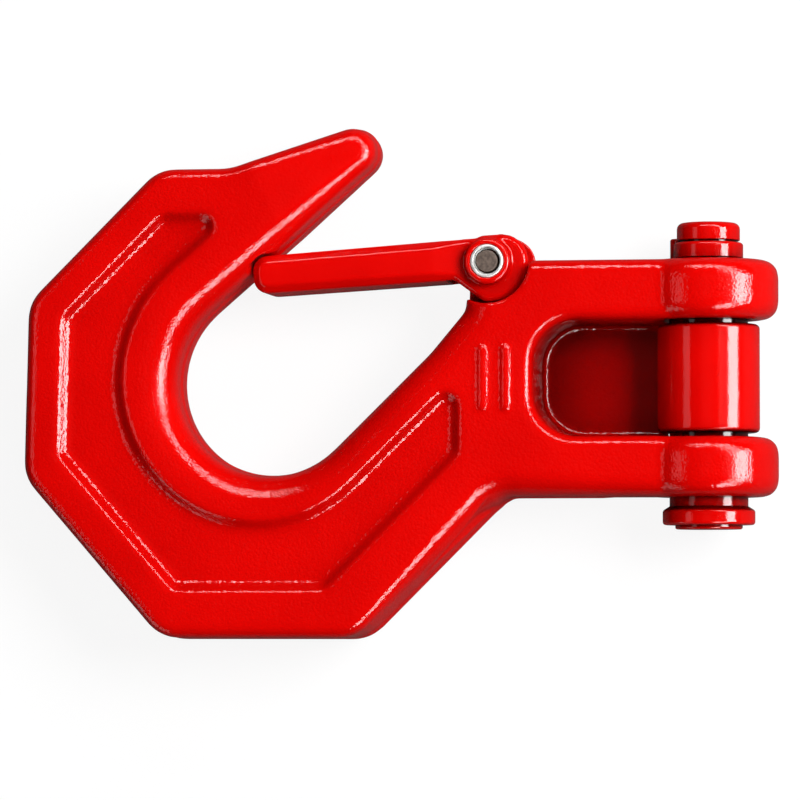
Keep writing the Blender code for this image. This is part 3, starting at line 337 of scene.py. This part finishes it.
def forged_piece(name, node, voxel, passes):
    """Skin laid over a forging's solid, with every edge rounded as forging and coating leave it."""
    piece = bpy.data.objects.new(name, frame["nodes"][node].data.copy())
    bpy.context.scene.collection.objects.link(piece)
    select_only(piece)
    bpy.ops.object.mode_set(mode="EDIT")
    bpy.ops.mesh.select_all(action="SELECT")
    bpy.ops.mesh.remove_doubles(threshold=SAME_PLACE)
    bpy.ops.object.mode_set(mode="OBJECT")
    apply_modifier(piece, "Skin", "REMESH", mode="VOXEL", voxel_size=voxel, use_smooth_shade=True)
    low, high = BARS_BOX
    bars = piece.vertex_groups.new(name="bars")
    inside = [
        vertex.index for vertex in piece.data.vertices
        if all(low[axis] <= vertex.co[axis] <= high[axis] for axis in range(3))
    ]
    bars.add(inside, 1.0, "REPLACE")
    apply_modifier(piece, "Even", "SMOOTH", factor=SMOOTHING, iterations=EVENING_PASSES)
    apply_modifier(
        piece, "Round", "SMOOTH", factor=SMOOTHING, iterations=passes, vertex_group="bars", invert_vertex_group=True,
    )
    return piece


def raise_trim_ridge(hook):
    """Low ridge half way up the hook's sides, left where the flash of the forging was trimmed off."""
    ridge = hook.vertex_groups.new(name="trim")
    for vertex in hook.data.vertices:
        spot, facing = vertex.co, vertex.normal
        below_crest = TRIM_HALF_WIDTH - abs(spot.z - MID_HEIGHT)
        if below_crest <= 0.0 or abs(facing.z) > TRIM_STEEPNESS:
            continue
        before_end = -spot.x
        if abs(spot.y) > TRIM_NECK_Y and facing.y * spot.y > 0.0:
            before_end = TRIM_EAR_X - spot.x
        past_latch = (spot.xy - LATCH_CENTRE.xy).length - TRIM_FROM_LATCH
        strength = min(below_crest / TRIM_SLOPE, before_end / TRIM_FADE, past_latch / TRIM_FADE, 1.0)
        if strength > 0.0:
            ridge.add([vertex.index], strength, "REPLACE")
    apply_modifier(
        hook, "Trim", "DISPLACE", direction="NORMAL", mid_level=0.0, strength=TRIM_HEIGHT, vertex_group="trim",
    )


def lean_lower_right_side(hook):
    """Draft that lets the forging out of its dies, on the lower right side where the real one leans most."""
    draft = hook.vertex_groups.new(name="draft")
    for vertex in hook.data.vertices:
        from_start = vertex.co.xy - SIDE_START
        facing = (vertex.normal.xy.dot(SIDE_OUT) - DRAFT_FACING) / (1.0 - DRAFT_FACING)
        if facing < 0.0 or abs(from_start.dot(SIDE_OUT)) > SIDE_REACH:
            continue
        along = from_start.dot(SIDE_WAY)
        ends = min(along - DRAFT_FROM, DRAFT_TO - along) / DRAFT_FADE
        height = 1.0 - abs(vertex.co.z - MID_HEIGHT) / DRAFT_HEIGHT
        if min(ends, height) > 0.0:
            draft.add([vertex.index], min(ends, 1.0) * height * facing, "REPLACE")
    apply_modifier(
        hook, "Draft", "DISPLACE", direction="NORMAL", mid_level=0.0, strength=DRAFT_OUT, vertex_group="draft",
    )


def sink_side_hollow(hook):
    """Wedge-shaped hollow that the dies leave in the lower right side, deepest beside the fork."""
    hollow = hook.vertex_groups.new(name="hollow")
    for vertex in hook.data.vertices:
        from_start = vertex.co.xy - SIDE_START
        if vertex.normal.xy.dot(SIDE_OUT) < HOLLOW_FACING or abs(from_start.dot(SIDE_OUT)) > SIDE_REACH:
            continue
        along = from_start.dot(SIDE_WAY)
        half_height = HOLLOW_HALF_HEIGHT * along / HOLLOW_LENGTH
        inside = half_height - abs(abs(vertex.co.z - MID_HEIGHT) - HOLLOW_FROM_MIDDLE)
        strength = min(inside / HOLLOW_EDGE, (HOLLOW_LENGTH - along) / HOLLOW_FADE, 1.0)
        if strength > 0.0:
            hollow.add([vertex.index], strength, "REPLACE")
    apply_modifier(
        hook, "Hollow", "DISPLACE", direction="NORMAL", mid_level=0.0, strength=-HOLLOW_DEPTH, vertex_group="hollow",
    )


def thin_flat_faces(hook):
    """Fewer triangles where the hook is flat, which keeps those on its edges and bars."""
    triangles = sum(len(face.vertices) - 2 for face in hook.data.polygons)
    apply_modifier(hook, "Thin", "DECIMATE", ratio=HOOK_TRIANGLES / triangles)


def shade_turned(piece):
    """Smooth round faces that keep their sharp edges."""
    select_only(piece)
    bpy.ops.object.shade_smooth_by_angle(angle=math.radians(SHARP_ANGLE))
    apply_modifier(piece, "Level", "WEIGHTED_NORMAL", keep_sharp=True)


def turned_piece(name, steps, rims, turn, centre, bored):
    """Piece turned on a lathe: a circle extruded and resized step by step, then its rims rounded."""
    bpy.ops.object.select_all(action="DESELECT")
    along, radius = steps[0]
    bpy.ops.mesh.primitive_circle_add(
        vertices=TURNED_SIDES, radius=radius * MM, fill_type="NOTHING" if bored else "NGON",
        location=(0.0, 0.0, along * MM),
    )
    piece = bpy.context.object
    piece.name = name
    bpy.ops.object.transform_apply(location=True)
    bpy.ops.object.mode_set(mode="EDIT")
    bpy.ops.mesh.select_all(action="SELECT")
    path = list(steps[1:]) + ([steps[0]] if bored else [])
    for next_along, next_radius in path:
        rise = (next_along - along) * MM
        bpy.ops.mesh.extrude_region_move(TRANSFORM_OT_translate={"value": (0.0, 0.0, rise)})
        spread = next_radius / radius
        bpy.ops.transform.resize(value=(spread, spread, 1.0), center_override=(0.0, 0.0, next_along * MM))
        along, radius = next_along, next_radius
    bpy.ops.mesh.select_all(action="SELECT")
    bpy.ops.mesh.remove_doubles(threshold=SAME_PLACE)
    bpy.ops.mesh.normals_make_consistent(inside=False)
    bpy.ops.mesh.select_mode(type="EDGE")
    for rim_along, rim_radius, rounding in rims:
        bpy.ops.mesh.select_all(action="DESELECT")
        shape = bmesh.from_edit_mesh(piece.data)
        for edge in shape.edges:
            edge.select_set(all(
                abs(vertex.co.z - rim_along * MM) < SAME_PLACE
                and abs(vertex.co.xy.length - rim_radius * MM) < SAME_PLACE
                for vertex in edge.verts
            ))
        bmesh.update_edit_mesh(piece.data)
        bpy.ops.mesh.bevel(offset=rounding * MM, segments=RIM_STEPS, affect="EDGES")
    bpy.ops.object.mode_set(mode="OBJECT")
    piece.rotation_euler = turn
    piece.location = centre
    bpy.ops.object.transform_apply(location=True, rotation=True)
    shade_turned(piece)
    return piece


def cut_keyway(pin):
    """Groove along the load pin's shank that the dowel locks into."""
    cutter = turned_piece("keyway", KEYWAY_STEPS, (), ALONG_Y, DOWEL_CENTRE, False)
    apply_modifier(pin, "Keyway", "BOOLEAN", operation="DIFFERENCE", object=cutter)
    bpy.data.objects.remove(cutter)
    shade_turned(pin)


def dress_hook():
    """Forged hook and latch, turned pins, roller, collar and bushes, each in its finish."""
    # A rough forging breaks the gleam into grains, and smoother steel under the coat leaves it whole
    # Each coat's last two values set how far its painted shade in hollows reaches, and whether only the piece's own
    # hollows count
    forging_red = red_powder_coat(
        "red_powder_coat_on_forging",
        grain_depth=0.045 * MM, wave_depth=0.04 * MM, painted_shade_reach=20.0 * MM, painted_shade_own_hollows_only=True,
    )
    latch_red = red_powder_coat(
        "red_powder_coat_on_latch",
        grain_depth=0.015 * MM, wave_depth=0.04 * MM, painted_shade_reach=20.0 * MM, painted_shade_own_hollows_only=True,
    )
    turned_red = red_powder_coat(
        "red_powder_coat_on_turned_steel",
        grain_depth=0.01 * MM, wave_depth=0.06 * MM, painted_shade_reach=7.0 * MM, painted_shade_own_hollows_only=False,
    )
    # Zinc plating gives a pale soft gleam. Its thin passivated skin scatters light, so it is only partly metallic.
    zinc = steel(
        "bright_zinc_plated_steel", metallic=0.6, dark="D8D8D5", light="F2F2F0",
        smooth=0.35, rough=0.5, grain_size=0.8 * MM,
    )
    # Phosphate is a dull brown-grey crystal layer that hides most of the steel's shine
    phosphate = steel(
        "dark_phosphated_steel", metallic=0.3, dark="4F4038", light="6C5B50",
        smooth=0.5, rough=0.6, grain_size=0.5 * MM,
    )
    # Drawn wire is bare and bright, with faint clouds where it has dulled
    wire = steel(
        "drawn_spring_steel", metallic=1.0, dark="7E7E7C", light="A2A2A0",
        smooth=0.25, rough=0.4, grain_size=0.7 * MM,
    )
    hook = forged_piece("forged_hook", "hook_body", HOOK_SKIN, HOOK_ROUNDING_PASSES)
    lean_lower_right_side(hook)
    raise_trim_ridge(hook)
    sink_side_hollow(hook)
    thin_flat_faces(hook)
    hand_over(hook, "hook_body", forging_red)
    latch = forged_piece("forged_latch", "latch", LATCH_SKIN, LATCH_ROUNDING_PASSES)
    hand_over(latch, "latch", latch_red)
    pin = turned_piece("turned_load_pin", LOAD_PIN_STEPS, LOAD_PIN_RIMS, ALONG_Y, PIN_CENTRE, False)
    cut_keyway(pin)
    hand_over(pin, "load_pin", turned_red)
    roller = turned_piece("turned_roller", ROLLER_STEPS, ROLLER_RIMS, ALONG_Y, PIN_CENTRE, True)
    hand_over(roller, "pin_roller", turned_red)
    collar = turned_piece("turned_collar", COLLAR_STEPS, COLLAR_RIMS, ALONG_Y, PIN_CENTRE, True)
    hand_over(collar, "pin_collar", turned_red)
    dowel = turned_piece("turned_dowel", DOWEL_STEPS, DOWEL_RIMS, ALONG_Y, DOWEL_CENTRE, False)
    hand_over(dowel, "lock_dowel", turned_red)
    latch_pin = turned_piece("turned_latch_pin", LATCH_PIN_STEPS, LATCH_PIN_RIMS, ALONG_Z, LATCH_CENTRE, False)
    hand_over(latch_pin, "latch_pin", phosphate)
    front_bush = turned_piece("front_bush", FRONT_BUSH_STEPS, FRONT_BUSH_RIMS, ALONG_Z, LATCH_CENTRE, True)
    hand_over(front_bush, "latch_bush_front", zinc)
    rear_bush = turned_piece("rear_bush", REAR_BUSH_STEPS, REAR_BUSH_RIMS, ALONG_Z, LATCH_CENTRE, True)
    hand_over(rear_bush, "latch_bush_rear", zinc)
    spring = frame["nodes"]["latch_spring"].data.materials
    spring.clear()
    spring.append(wire)


def set_table():
    """Table top under the hook."""
    bpy.ops.object.select_all(action="DESELECT")
    bpy.ops.mesh.primitive_plane_add(size=TABLE_SIZE)
    table = bpy.context.object
    table.name = "table_top"
    table.data.materials.append(white_table_top())


def area_light(name, bearing, lean, distance, length, width):
    """Soft rectangular light that faces the hook from its bearing and lean."""
    turn, lean = math.radians(bearing), math.radians(lean)
    way = Vector((math.sin(lean) * math.cos(turn), math.sin(lean) * math.sin(turn), math.cos(lean)))
    across = Vector((-math.sin(turn), math.cos(turn), 0.0))
    data = bpy.data.lights.new(name, "AREA")
    data.shape = "RECTANGLE"
    data.size = length
    data.size_y = width
    light = bpy.data.objects.new(name, data)
    bpy.context.scene.collection.objects.link(light)
    light.location = way * distance
    light.rotation_euler = Matrix((across, way.cross(across), way)).transposed().to_euler()
    light.visible_camera = False
    return light


def set_lights():
    """Soft keys for even colour, and soft boxes that draw the edges and gleam on the round pieces."""
    world = bpy.data.worlds.new("dim_studio")
    bpy.context.scene.world = world
    world.use_nodes = True
    world.node_tree.nodes["Background"].inputs["Color"].default_value = linear("FFFFFF")
    world.node_tree.nodes["Background"].inputs["Strength"].default_value = ROOM_LIGHT
    for name, bearing, lean, share in KEYS:
        key = area_light(name, bearing, lean, KEY_DISTANCE, KEY_SIZE, KEY_SIZE)
        key.data.energy = math.pi ** 2 * KEY_DISTANCE ** 2 * share / math.cos(math.radians(lean))
        key.visible_glossy = False
    for name, bearing, lean, width, brightness in SOFT_BOXES:
        box = area_light(name, bearing, lean, BOX_DISTANCE, BOX_LENGTH, width)
        box.data.energy = math.pi * BOX_LENGTH * width * brightness
        box.visible_diffuse = False
    bpy.context.scene.view_settings.view_transform = "Standard"


def set_camera():
    """Camera at the photograph's angle, aimed so that the hook falls at its place in the frame."""
    yaw, pitch = math.radians(CAMERA_YAW), math.radians(CAMERA_PITCH)
    back = Vector((math.sin(yaw) * math.cos(pitch), -math.sin(pitch), math.cos(yaw) * math.cos(pitch)))
    right = Vector((math.cos(yaw), 0.0, -math.sin(yaw)))
    up = back.cross(right)
    data = bpy.data.cameras.new("camera")
    data.sensor_width = SENSOR_WIDTH
    data.lens = CAMERA_DISTANCE / (MM_PER_PIXEL * MM * IMAGE_PIXELS) * SENSOR_WIDTH
    camera = bpy.data.objects.new("camera", data)
    bpy.context.scene.collection.objects.link(camera)
    aim = Vector((0.0, 0.0, MID_HEIGHT))
    aim -= (right * HOOK_RIGHT_OF_MIDDLE + up * HOOK_ABOVE_MIDDLE) * MM_PER_PIXEL * MM
    turn = Matrix((right, up, back)).transposed().to_4x4()
    camera.matrix_world = Matrix.Translation(aim + back * CAMERA_DISTANCE) @ turn
    bpy.context.scene.camera = camera


set_camera()
dress_hook()
set_table()
set_lights()
